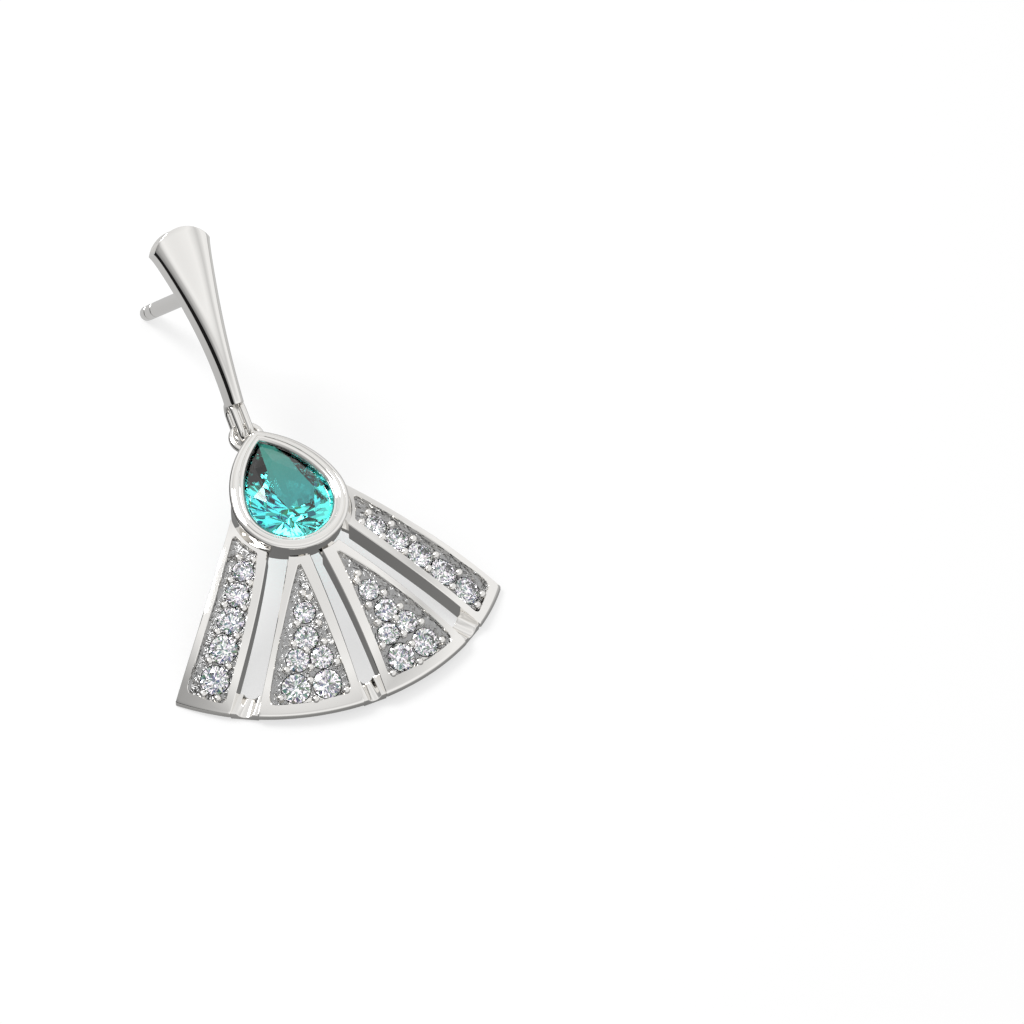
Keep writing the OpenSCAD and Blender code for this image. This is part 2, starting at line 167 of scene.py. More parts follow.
# The room: each ramp's stops are a share of the way up, or round, and a grey
EVEN_STRENGTH = 0.74
ABOVE = ((0.74, 0.95), (0.84, 0.66), (0.92, 0.97), (1.0, 0.8))
DARK_SIDE = ((0.0, 0.5), (0.49, 0.3), (0.5, 0.01), (0.57, 0.012), (0.6, 0.9)) + ABOVE
LIGHT_SIDE = ((0.0, 0.6), (0.49, 0.6), (0.515, 0.36), (0.57, 0.92)) + ABOVE
LIGHT_WINDOW = ((0.0, 0.0), (0.06, 0.0), (0.09, 1.0), (0.78, 1.0), (0.82, 0.0), (1.0, 0.0))
SHADED_SIDE = (-0.95, -0.45)
SIDE_SHADE = 0.3
CELL_SCALE = 7.0
CELL_SHADES = ((0.3, 0.05), (0.8, 1.0))
CELL_STRENGTH = 1.7
CELL_COLOUR = 0.16
KEY_AT = (-0.13, 0.12, 0.22)
KEY_SIZE = (0.12, 0.12)
KEY_POWER = 0.38

# The stones' and metals' finish
PEAR_IOR = 1.76
CLEAR_IOR = 2.42
GREEN_FROM = -0.0055
GREEN_TO = -0.0015
MARK_SCALE = 900.0
MARK_DEPTH = 0.00002
SUNK_SCALE = 2200.0
SUNK_DEPTH = 0.0002


def face_z(rho):
    """Height of the fan's face at a distance from the arc's centre."""
    return math.sqrt(FACE_R ** 2 - rho ** 2) - FACE_DROP


def rho_of(p):
    return math.hypot(p[0], p[1] - FAN_Y)


def bottom_z(rho):
    """Height of the fan's underside, with the undercut below the arc."""
    inside = FAN_R - UNDERCUT
    if rho <= inside:
        return face_z(rho) - PLATE_T
    foot = face_z(inside) - PLATE_T
    edge = face_z(FAN_R) - RIM_EDGE
    return foot + (edge - foot) * (rho - inside) / UNDERCUT


def lay_angles():
    """Pitch and shifts that lay the earring on the fan's corners and the post's tip."""
    (ax, ay), (bx, by), _ = BLADE_SIDE
    run = math.hypot(bx - ax, by - ay)
    corner_y = by - UNDERCUT * (by - ay) / run
    corner_z = face_z(FAN_R - UNDERCUT) - PLATE_T
    pitch = math.radians(BAR_PITCH)
    post_y = BAR_AT[0] + POST_AT * math.cos(pitch)
    post_z = BAR_AT[1] + POST_AT * math.sin(pitch)
    tip_y = post_y + (POST_LEN - POST_R) * math.sin(pitch)
    tip_z = post_z - (POST_LEN - POST_R) * math.cos(pitch)
    reach = math.hypot(tip_y - corner_y, tip_z - corner_z)
    lay = math.atan2(tip_z - corner_z, tip_y - corner_y) - math.asin(POST_R / reach)
    lay_z = corner_y * math.sin(lay) - corner_z * math.cos(lay)
    front = (FAN_Y - FAN_R) * math.cos(lay) + (face_z(FAN_R) - RIM_EDGE) * math.sin(lay)
    back = tip_y * math.cos(lay) + tip_z * math.sin(lay) + POST_R
    return lay, -(front + back) / 2, lay_z


LAY_PITCH, LAY_Y, LAY_Z = lay_angles()
LAID = Matrix.Scale(MM, 4) @ Matrix.Translation((0, LAY_Y, LAY_Z)) @ Matrix.Rotation(-LAY_PITCH, 4, "X")
IN_CUP = Matrix.Translation((0, 0, CUP_RISE)) @ Matrix.Rotation(math.radians(CUP_PITCH), 4, "X")
ON_BAR = Matrix.Translation((0, *BAR_AT)) @ Matrix.Rotation(math.radians(BAR_PITCH), 4, "X")


def mix(a, b, t):
    return a + (b - a) * t


def bowed(edge, t):
    """A point along an edge that bows towards the middle plane."""
    (ax, ay), (bx, by), bow = edge
    dx, dy = bx - ax, by - ay
    run = math.hypot(dx, dy)
    lift = 4 * t * (1 - t) * bow
    return Vector((ax + t * dx + lift * dy / run, ay + t * dy - lift * dx / run))


def on_face(place, depth):
    """Matrix that stands a thing on the face at a place, square to it."""
    x, y = place[0], place[1]
    rho = rho_of(place)
    tilt = math.asin(rho / FACE_R)
    turn = math.atan2(y - FAN_Y, x)
    return (
        Matrix.Translation((x, y, face_z(rho) - depth))
        @ Matrix.Rotation(turn, 4, "Z")
        @ Matrix.Rotation(tilt, 4, "Y")
    )


def pear_point(angle, r, tip):
    """A point of a pear outline in one direction from its round end's centre."""
    turn = math.radians(CUP_TURN)
    if math.sin(angle) < math.sin(turn):
        reach = r
    else:
        k = (tip * tip - r * r) / (2 * (r - tip * math.sin(turn)))
        cx, cy = -k * math.cos(turn), -k * math.sin(turn)
        along = abs(math.cos(angle)) * cx + math.sin(angle) * cy
        reach = along + math.sqrt(along * along - cx * cx - cy * cy + (r + k) ** 2)
    return Vector((reach * math.cos(angle), reach * math.sin(angle)))


# Mesh helpers

def deselect():
    if bpy.context.object and bpy.context.object.mode != "OBJECT":
        bpy.ops.object.mode_set(mode="OBJECT")
    bpy.ops.object.select_all(action="DESELECT")


def pick(piece):
    """Selects one piece alone and makes it active."""
    deselect()
    piece.select_set(True)
    bpy.context.view_layer.objects.active = piece


def edit_all():
    bpy.ops.object.mode_set(mode="EDIT")
    bpy.ops.mesh.select_all(action="SELECT")


def tidy_mesh(merge=0.0005):
    """Closes seams and poles of the active mesh and turns its faces outwards."""
    edit_all()
    bpy.ops.mesh.remove_doubles(threshold=merge)
    bpy.ops.mesh.select_all(action="SELECT")
    bpy.ops.mesh.normals_make_consistent(inside=False)
    bpy.ops.object.mode_set(mode="OBJECT")


def wrapped_grid(name, around, along, place, close_around=True, close_along=False):
    """A grid whose corners a rule places: place(u, v) with u round the section and v along."""
    deselect()
    bpy.ops.mesh.primitive_grid_add(x_subdivisions=around, y_subdivisions=along, size=1.0)
    piece = bpy.context.object
    piece.name = name
    piece.data.name = name
    for v in piece.data.vertices:
        v.co = place(v.co.x + 0.5, v.co.y + 0.5)
    tidy_mesh()
    return piece


def apply_modifier(piece, kind, **values):
    pick(piece)
    modifier = piece.modifiers.new(kind.title(), kind)
    for key, value in values.items():
        setattr(modifier, key, value)
    bpy.ops.object.modifier_apply(modifier=modifier.name)


def join(name, pieces):
    deselect()
    for p in pieces:
        p.select_set(True)
    bpy.context.view_layer.objects.active = pieces[0]
    if len(pieces) > 1:
        bpy.ops.object.join()
    piece = bpy.context.object
    piece.name = name
    piece.data.name = name
    return piece


def mirrored(piece):
    """A copy of a piece on the other side of the middle plane, with its own mesh."""
    pick(piece)
    bpy.ops.object.duplicate(linked=False)
    copy = bpy.context.object
    copy.data.transform(Matrix.Scale(-1, 4, (1, 0, 0)))
    copy.data.flip_normals()
    return copy


def smooth(piece, angle=35):
    pick(piece)
    bpy.ops.object.shade_smooth_by_angle(angle=math.radians(angle))


def dress(piece, *materials):
    """Gives a piece its materials, in the order that its faces count them."""
    piece.data.materials.clear()
    for material in materials:
        piece.data.materials.append(material)


def settle(piece, material, nodes):
    """Lays a finished piece down, gives it its material and fastens it to the body."""
    piece.data.transform(LAID)
    if material:
        dress(piece, material)
    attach(piece, BODY)
    if nodes:
        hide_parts(*nodes)
    return piece


# Materials

def new_material(name):
    old = bpy.data.materials.get(name)
    if old:
        return old, None, None
    material = bpy.data.materials.new(name)
    material.use_nodes = True
    tree = material.node_tree
    shader = tree.nodes["Principled BSDF"]
    return material, tree, shader


def polish_group():
    """Fine polishing marks: a small change of roughness and a very fine relief."""
    name = "polish_marks"
    group = bpy.data.node_groups.get(name)
    if group:
        return group
    group = bpy.data.node_groups.new(name, "ShaderNodeTree")
    for label, low in (("Scale", 1.0), ("Smooth", 0.03), ("Rough", 0.1), ("Relief", 0.02)):
        socket = group.interface.new_socket(name=label, in_out="INPUT", socket_type="NodeSocketFloat")
        socket.default_value = low
    group.interface.new_socket(name="Roughness", in_out="OUTPUT", socket_type="NodeSocketFloat")
    group.interface.new_socket(name="Height", in_out="OUTPUT", socket_type="NodeSocketFloat")
    nodes, links = group.nodes, group.links
    given = nodes.new("NodeGroupInput")
    result = nodes.new("NodeGroupOutput")
    place = nodes.new("ShaderNodeTexCoord")
    noise = nodes.new("ShaderNodeTexNoise")
    noise.inputs["Detail"].default_value = 3.0
    spread = nodes.new("ShaderNodeMapRange")
    links.new(place.outputs["Object"], noise.inputs["Vector"])
    links.new(given.outputs["Scale"], noise.inputs["Scale"])
    links.new(noise.outputs["Fac"], spread.inputs["Value"])
    links.new(given.outputs["Smooth"], spread.inputs["To Min"])
    links.new(given.outputs["Rough"], spread.inputs["To Max"])
    links.new(spread.outputs["Result"], result.inputs["Roughness"])
    height = nodes.new("ShaderNodeMath")
    height.operation = "MULTIPLY"
    links.new(noise.outputs["Fac"], height.inputs[0])
    links.new(given.outputs["Relief"], height.inputs[1])
    links.new(height.outputs["Value"], result.inputs["Height"])
    return group


def metal_material(name, colour, smooth_at, rough_at, relief, scale=MARK_SCALE, strength=0.15,
                   depth=MARK_DEPTH):
    """Polished white metal with faint polishing marks."""
    material, tree, shader = new_material(name)
    if tree is None:
        return material
    shader.inputs["Base Color"].default_value = (*colour, 1.0)
    shader.inputs["Metallic"].default_value = 1.0
    marks = tree.nodes.new("ShaderNodeGroup")
    marks.node_tree = polish_group()
    marks.inputs["Scale"].default_value = scale
    marks.inputs["Smooth"].default_value = smooth_at
    marks.inputs["Rough"].default_value = rough_at
    marks.inputs["Relief"].default_value = relief
    bump = tree.nodes.new("ShaderNodeBump")
    bump.inputs["Distance"].default_value = depth
    bump.inputs["Strength"].default_value = strength
    tree.links.new(marks.outputs["Roughness"], shader.inputs["Roughness"])
    tree.links.new(marks.outputs["Height"], bump.inputs["Height"])
    tree.links.new(bump.outputs["Normal"], shader.inputs["Normal"])
    return material


def stone_material(name, colour, ior, roughness=0.0):
    """Clear cut stone that bends light, tinted by its colour."""
    material, tree, shader = new_material(name)
    if tree is None:
        return material
    shader.inputs["Base Color"].default_value = (*colour, 1.0)
    shader.inputs["Metallic"].default_value = 0.0
    shader.inputs["Roughness"].default_value = roughness
    shader.inputs["IOR"].default_value = ior
    shader.inputs["Transmission Weight"].default_value = 1.0
    return material


def green_tip(material, colour):
    """Blends a stone's colour to another one towards the tip."""
    tree = material.node_tree
    shader = tree.nodes["Principled BSDF"]
    place = tree.nodes.new("ShaderNodeTexCoord")
    split = tree.nodes.new("ShaderNodeSeparateXYZ")
    tree.links.new(place.outputs["Object"], split.inputs["Vector"])
    share = tree.nodes.new("ShaderNodeMapRange")
    share.inputs["From Min"].default_value = GREEN_FROM
    share.inputs["From Max"].default_value = GREEN_TO
    tree.links.new(split.outputs["Y"], share.inputs["Value"])
    blend = tree.nodes.new("ShaderNodeMix")
    blend.data_type = "RGBA"
    tree.links.new(share.outputs["Result"], blend.inputs["Factor"])
    blend.inputs["A"].default_value = shader.inputs["Base Color"].default_value
    blend.inputs["B"].default_value = (*colour, 1.0)
    tree.links.new(blend.outputs["Result"], shader.inputs["Base Color"])


# Shapes of the fan

CORNER_STEPS = 5
SIDE_STEPS = 22
EDGE = 0.045
SPINE = (0.12, 0.86)
HALVINGS = 30


def rounded_loop(sides, radii):
    """Points round a four-sided outline, with the same count for every outline."""
    points = []
    count = len(sides)
    nudge = 0.02
    parts = 20
    for i, side in enumerate(sides):
        before = sides[i - 1]
        r0, r1 = radii[i], radii[(i + 1) % count]
        corner = side(0.0)
        away = (side(nudge) - corner).normalized()
        back = (before(1 - nudge) - corner).normalized()
        half = away.angle(back) / 2
        reach = r0 / math.tan(half)
        bisector = (away + back).normalized()
        centre = corner + bisector * r0 / math.sin(half)
        a0 = math.atan2(*(corner + back * reach - centre).yx)
        a1 = math.atan2(*(corner + away * reach - centre).yx)
        turn = (a1 - a0 + 3 * math.pi) % (2 * math.pi) - math.pi
        for k in range(CORNER_STEPS):
            a = a0 + turn * (k + 0.5) / CORNER_STEPS
            points.append(centre + r0 * Vector((math.cos(a), math.sin(a))))
        length = sum((side((k + 1) / parts) - side(k / parts)).length for k in range(parts))
        nxt = sides[(i + 1) % count]
        corner2 = side(1.0)
        away2 = (nxt(nudge) - corner2).normalized()
        back2 = (side(1 - nudge) - corner2).normalized()
        reach2 = r1 / math.tan(away2.angle(back2) / 2)
        t0, t1 = reach / length, 1 - reach2 / length
        for k in range(SIDE_STEPS + 1):
            points.append(side(mix(t0, t1, k / SIDE_STEPS)))
    return points


def arc_side(a, b):
    """The stretch of the outer arc from one point to another."""
    a0 = math.atan2(a[1] - FAN_Y, a[0])
    a1 = math.atan2(b[1] - FAN_Y, b[0])
    r0, r1 = rho_of(a), rho_of(b)

    def side(t):
        r, w = mix(r0, r1, t), mix(a0, a1, t)
        return Vector((r * math.cos(w), FAN_Y + r * math.sin(w)))
    return side


def round_cup(a, b, t):
    """A point of the top end between two edges, on an arc round the cup."""
    return mix(a, b, t).normalized() * mix(a.length, b.length, t)


def four_sides(inside, outside):
    """Sides of an outline between two edges: out along one, along the arc, back, and across."""
    return (
        lambda t: bowed(inside, t),
        arc_side(bowed(inside, 1), bowed(outside, 1)),
        lambda t: bowed(outside, 1 - t),
        lambda t: round_cup(bowed(outside, 0), bowed(inside, 0), t),
    )


def blade(name, inside, outside, bed_inside, bed_outside, bed_radii):
    """One blade of the fan with its bed, as a closed shell of rings round its middle line."""
    outline = rounded_loop(four_sides(inside, outside), (0.02, 0.06, 0.06, 0.02))
    bed = rounded_loop(four_sides(bed_inside, bed_outside), bed_radii)
    count = len(outline)
    block = CORNER_STEPS + SIDE_STEPS + 1
    spine = []
    for i in range(count):
        side, k = divmod(i, block)
        t = max(0.0, (k - CORNER_STEPS) / SIDE_STEPS)
        t = {0: t, 1: 1.0, 2: 1 - t, 3: 0.0}[side]
        t = mix(*SPINE, t)
        spine.append((bowed(bed_inside, t) + bowed(bed_outside, t)) / 2)
    rings = []

    def ring(points, height):
        rings.append([(p, height(p)) for p in points])

    def shifted(points, others, by):
        return [
            p + (q - p).normalized() * by if (q - p).length > 1e-9 else p
            for p, q in zip(points, others)
        ]

    def at(depth):
        return lambda p: face_z(rho_of(p)) - depth

    def low(lift=0.0):
        return lambda p: bottom_z(rho_of(p)) + lift
    floor = BED_DEPTH
    for w in (1.0, 0.75, 0.5, 0.25, 0.08):
        ring([mix(b, s, w) for b, s in zip(bed, spine)], at(floor))
    ring(bed, at(floor))
    ring(bed, at(floor - 0.05))
    ring(bed, at(EDGE))
    ring(shifted(bed, outline, EDGE), at(0.0))
    for w in (0.2, 0.5, 0.8):
        inner = shifted(bed, outline, EDGE)
        outer = shifted(outline, bed, EDGE)
        ring([mix(a, b, w) for a, b in zip(inner, outer)], at(0.0))
    ring(shifted(outline, bed, EDGE), at(0.0))
    ring(outline, at(EDGE))
    ring(outline, at(2 * EDGE))
    ring(outline, low(EDGE))
    ring(shifted(outline, bed, EDGE), low())
    for w in (0.35, 0.7, 1.0):
        ring([mix(a, b, w) for a, b in zip(outline, bed)], low())
    for w in (0.3, 0.65, 1.0):
        ring([mix(a, b, w) for a, b in zip(bed, spine)], low())
    across = len(rings)

    def place(u, v):
        p, z = rings[round(v * (across - 1))][round(u * count) % count]
        return Vector((p.x, p.y, z))
    return wrapped_grid(name, count, across - 1, place)


def seat_cutter(stone):
    """The open seat under a small stone, as a tool that cuts it from the fan."""
    x, y, r = stone
    r += SEAT_GAP
    girdle = -0.06 * stone[2] - SEAT_GAP
    open_r = 0.5 * stone[2]
    deep = girdle - (r - open_r) * PAVILION_SHARE
    section = ((0.0, 0.02), (r, 0.02), (r, girdle), (open_r, deep), (open_r, -2.5), (0.0, -2.5))
    turn = on_face(stone, BED_DEPTH)
    sides = 32

    def place(u, v):
        rad, z = section[round(v * (len(section) - 1))]
        a = 2 * math.pi * u
        return turn @ Vector((rad * math.cos(a), rad * math.sin(a), z))
    return wrapped_grid("seat", sides, len(section) - 1, place)


def cut_seats(piece, stones):
    """Cuts one seat at a time, because neighbouring seats overlap a little."""
    for stone in stones:
        tool = seat_cutter(stone)
        apply_modifier(piece, "BOOLEAN", operation="DIFFERENCE", solver="EXACT", object=tool)
        bpy.data.objects.remove(tool)


def inside_loop(p, loop):
    """Whether a point lies inside a closed outline."""
    inside = False
    for a, b in zip(loop, loop[1:] + loop[:1]):
        if (a.y > p.y) != (b.y > p.y) and p.x < a.x + (b.x - a.x) * (p.y - a.y) / (b.y - a.y):
            inside = not inside
    return inside


def shade_bed(piece, bed_inside, bed_outside):
    """Gives the bed's floor and the seats the second material, a darker metal: painted shade in these
    recesses.
    """
    steps = 20
    loop = [bowed(bed_inside, k / steps) for k in range(steps + 1)]
    loop += [bowed(bed_outside, 1 - k / steps) for k in range(steps + 1)]
    for face in piece.data.polygons:
        depth = face_z(rho_of(face.center)) - face.center.z
        sunk = BED_DEPTH - 0.08 < depth < PLATE_T - 0.02
        face.material_index = 1 if sunk and inside_loop(face.center, loop) else 0


def halved(edge, low_t, high_t, too_near):
    """The point along an edge, found by halving, where a test of nearness stops being true."""
    for _ in range(HALVINGS):
        t = (low_t + high_t) / 2
        if too_near(bowed(edge, t)):
            low_t = t
        else:
            high_t = t
    return bowed(edge, low_t)


def bridge(name, left, right):
    """A low bridge that closes a slot at the outer arc, hollowed along its length."""
    inside = FAN_R - BRIDGE_W
    outer = FAN_R - 0.12
    foot = face_z(FAN_R - UNDERCUT) - PLATE_T
    top_in = face_z(inside) - BRIDGE_DROP
    top_out = foot + 0.16
    past = 0.12
    thick = 0.4
    groove_half = 0.45
    groove_depth = 0.34
    groove_fade = 0.3

    def edge_at(edge, rho):
        return halved(edge, 0.5, 1.2, lambda p: rho_of(p) < rho)
    across = 24
    half = across // 2

    def place(u, v):
        i = round(u * across) % across
        top = i <= half
        s = i / half if top else (across - i) / half
        rho = mix(inside, outer, v)
        a = edge_at(left, rho)
        b = edge_at(right, rho)
        if left is right:
            a = Vector((-b.x, b.y))
        p = mix(a, b, mix(-past, 1 + past, s))
        if top:
            across_groove = (2 * s - 1) / groove_half
            hollow = groove_depth * math.sqrt(max(0.0, 1 - across_groove ** 2))
            z = mix(top_in, top_out, v) - hollow * (1 - groove_fade * v)
        else:
            z = min(bottom_z(rho_of(p)), mix(top_in, top_out, v) - thick)
        return Vector((p.x, p.y, z))
    return wrapped_grid(name, across, 8, place)


def edge_angle(edge, reach):
    """Direction, seen from the cup's centre, of an edge carried in to a distance from it."""
    p = halved(edge, -0.3, 0.1, lambda q: q.length < reach)
    return math.atan2(p.y, p.x)


def root_ledge(name, start, stop):
    """The thin ledge that joins a blade to the cup, between two rules for its ends' directions."""
    top = LEDGE_Z + LEDGE_T
    out = MOAT_R + 0.05
    edge = 0.03
    section = (
        (LEDGE_IN, LEDGE_Z), (out, LEDGE_Z), (out, top), (LEDGE_IN + edge, top), (LEDGE_IN, top - edge)
    )
    steps = len(section)

    def place(u, v):
        r, z = section[round(u * steps) % steps]
        a = mix(start(r), stop(r), v)
        return Vector((r * math.cos(a), r * math.sin(a), z))
    piece = wrapped_grid(name, steps, 12, place)
    fill_ends(piece)
    return piece


def fill_ends(piece):
    """Closes the open ends of a tube."""
    pick(piece)
    edit_all()
    bpy.ops.mesh.select_all(action="DESELECT")
    bpy.ops.mesh.select_non_manifold()
    bpy.ops.mesh.edge_face_add()
    bpy.ops.mesh.select_all(action="SELECT")
    bpy.ops.mesh.normals_make_consistent(inside=False)
    bpy.ops.object.mode_set(mode="OBJECT")


def bead_places():
    """Places of the right half's beads: beside the outer row, and round the inner blade's stones."""
    places = list(INNER_BEADS)
    row = [Vector(s[:2]) for s in OUTER_STONES]
    row = [2 * row[0] - row[1]] + row + [2 * row[-1] - row[-2]]
    for i, (a, b) in enumerate(zip(row, row[1:])):
        run = (b - a).normalized()
        side = Vector((-run.y, run.x))
        reach = 0.42 if i in (0, len(row) - 2) else 0.55
        for s in (-1, 1):
            places.append(tuple((a + b) / 2 + s * reach * side))
    return places


def bead_shape(place, x_sign):
    deselect()
    bpy.ops.mesh.primitive_uv_sphere_add(segments=20, ring_count=12, radius=BEAD_R)
    piece = bpy.context.object
    piece.data.transform(Matrix.Scale(1.15, 4, (0, 0, 1)))
    piece.data.transform(on_face((x_sign * place[0], place[1]), BED_DEPTH - BEAD_LIFT))
    return piece


# Shapes of the cup and the links

CUP_SECTION = (
    (-0.91, -0.14), (-0.90, -0.09), (-0.80, 0.01), (-0.65, 0.09), (-0.61, 0.10), (-0.58, 0.085),
    (-0.55, 0.125), (-0.45, 0.15), (-0.33, 0.14), (-0.29, 0.125), (-0.26, 0.09), (-0.23, 0.115),
    (-0.14, 0.08), (-0.06, 0.02), (-0.01, -0.04), (0.0, -0.08), (-0.02, -0.13), (-0.07, -0.17),
    (-0.19, -0.20), (-0.22, -0.24), (-0.22, -1.0), (-0.22, -2.36), (-0.26, -2.40), (-1.11, -2.40),
    (-1.15, -2.36), (-1.15, -0.98), (-0.75, -0.62), (-0.75, -0.27), (-0.88, -0.16),
)


def cup_shape():
    """The pear cup: a rounded rim and a sloping inner band over a plain wall."""
    count = 144
    section = CUP_SECTION
    steps = len(section)

    def place(u, v):
        off, height = section[round(u * steps) % steps]
        angle = math.pi / 2 + 2 * math.pi * v
        p = pear_point(angle, CUP_R + off, CUP_TIP + TIP_SHARE * off)
        pitch = math.radians(CUP_PITCH)
        floor = (CUP_FLOOR - CUP_RISE - p.y * math.sin(pitch)) / math.cos(pitch)
        return IN_CUP @ Vector((p.x, p.y, max(height, floor)))
    return wrapped_grid("pear_cup", steps, count, place)


def ring_shape():
    deselect()
    bpy.ops.mesh.primitive_torus_add(
        major_radius=RING_R, minor_radius=RING_WIRE, major_segments=64, minor_segments=24
    )
    piece = bpy.context.object
    piece.data.transform(
        Matrix.Translation((0, *RING_AT)) @ Matrix.Rotation(math.radians(CUP_PITCH), 4, "X")
    )
    return piece


def loop_shape(x):
    """One of the twin wire loops: a torus drawn out to an oval."""
    deselect()
    bpy.ops.mesh.primitive_torus_add(
        major_radius=LOOP_R, minor_radius=LOOP_WIRE, major_segments=64, minor_segments=24
    )
    piece = bpy.context.object
    for v in piece.data.vertices:
        v.co.x += math.copysign(LOOP_LEN / 2, v.co.x)
    piece.data.transform(
        Matrix.Translation((x, *LOOP_AT))
        @ Matrix.Rotation(math.radians(LOOP_PITCH), 4, "X")
        @ Matrix.Rotation(math.pi / 2, 4, "Z")
        @ Matrix.Rotation(math.pi / 2, 4, "X")
    )
    return piece


# Shapes of the stud

def arch_lift(x):
    """How far the arched top stands over the bar's corners, across the bar."""
    r = (BAR_HALF[1] ** 2 + BAR_ARCH ** 2) / (2 * BAR_ARCH)
    return math.sqrt(max(r * r - x * x, 0.0)) - r + BAR_ARCH


def bar_lift(t):
    """How far the bowed back stands off the bar's line."""
    return BAR_BOW * 4 * t * (1 - t) + BAR_RAISE * (1 - t)


def bar_shape():
    """The flared bar: flat back, flat side walls and a rounded front under an arched top."""
    along = 60
    front_steps = 28
    back_steps = 28
    section = []
    for i in range(-front_steps, front_steps + 1):
        section.append((i / front_steps, 1, 1))
    for k in (0.66, 0.33):
        section.append((1.0, 0, k))
    for i in range(back_steps + 1):
        section.append((1 - 2 * i / back_steps, 0, 0))
    for k in (0.33, 0.66):
        section.append((-1.0, 0, k))
    steps = len(section)

    def place(u, v):
        across, in_front, side_share = section[round(u * steps) % steps]
        # The last ring lies on the one before it, and the two are merged
        t = min(1, round(v * along) / (along - 1))
        half = mix(*BAR_HALF, t * t)
        side = mix(*BAR_SIDE, t)
        rise = mix(*BAR_T, t) - side
        share = 0.0
        if in_front:
            a = math.pi / 2 * across
            fullness = 2 / BAR_POWER
            share = max(0.0, math.cos(a)) ** fullness
            across = math.copysign(abs(math.sin(a)) ** fullness, across)
        x = half * across
        y = BAR_LEN * t + arch_lift(x) * t ** ARCH_POWER
        z = side * side_share + rise * share + bar_lift(t)
        return ON_BAR @ Vector((x, y, z))
    piece = wrapped_grid("stud_bar", steps, along, place)
    fill_ends(piece)
    apply_modifier(piece, "BEVEL", width=0.07, segments=3, limit_method="ANGLE",
                   angle_limit=math.radians(40))
    return piece


def post_shape():
    """The ear post, turned from a profile with two grooves and a rounded tip."""
    inside = -bar_lift(POST_AT / BAR_LEN) - POST_SUNK
    profile = [(0.0, inside), (POST_R, inside), (POST_R, POST_PLAIN - 0.01)]
    for k in range(2):
        z = POST_PLAIN + k * GROOVE_STEP
        profile += [
            (POST_R, z),
            (POST_R - GROOVE_LIP, z + GROOVE_EASE),
            (POST_R - GROOVE_D, z + GROOVE_W / 2 - GROOVE_EASE),
            (POST_R - GROOVE_D, z + GROOVE_W / 2 + GROOVE_EASE),
            (POST_R - GROOVE_LIP, z + GROOVE_W - GROOVE_EASE),
            (POST_R, z + GROOVE_W),
        ]
    tip_steps = 8
    for k in range(1, tip_steps + 1):
        a = math.pi / 2 * k / tip_steps
        profile.append((POST_R * math.cos(a), POST_LEN - POST_R + POST_R * math.sin(a)))
    steps = len(profile)

    def place(u, v):
        r, z = profile[round(v * (steps - 1))]
        a = 2 * math.pi * u
        return ON_BAR @ Vector((r * math.cos(a), POST_AT + r * math.sin(a), -z))
    return wrapped_grid("ear_post", 48, steps - 1, place)


# Settings

class EarringFinish(bpy.types.PropertyGroup):
    metal_colour: bpy.props.FloatVectorProperty(
        name="Metal colour", description="Colour of the polished white metal", subtype="COLOR", size=3,
        default=(0.90, 0.885, 0.86), min=0.0, max=1.0,
    )
    pear_colour: bpy.props.FloatVectorProperty(
        name="Pear colour", description="Colour of the pear stone", subtype="COLOR", size=3,
        default=(0.06, 0.72, 0.76), min=0.0, max=1.0,
    )
    tip_colour: bpy.props.FloatVectorProperty(
        name="Pear's tip", description="Colour of the pear stone near its tip", subtype="COLOR", size=3,
        default=(0.12, 0.72, 0.58), min=0.0, max=1.0,
    )
    clear_colour: bpy.props.FloatVectorProperty(
        name="Clear stones", description="Colour of the small stones", subtype="COLOR", size=3,
        default=(0.98, 0.99, 1.0), min=0.0, max=1.0,
    )
    polish: bpy.props.FloatProperty(
        name="Polish", description="Roughness of the metal where it is smoothest", default=0.035,
        min=0.0, max=0.5, subtype="FACTOR",
    )


def finish_values():
    return bpy.context.scene.earring_finish


def bright_metal():
    values = finish_values()
    return metal_material("polished_metal", values.metal_colour, values.polish, values.polish + 0.03, 0.2)


def shaded_bed_metal():
    """A darker, rougher metal for the beds' floors and seats: the roughness is their finish, and the
    darker grey is painted shade in the recesses.
    """
    return metal_material("shaded_bed_metal", (0.42, 0.42, 0.42), 0.06, 0.12, 2.0, SUNK_SCALE, 1.0, SUNK_DEPTH)


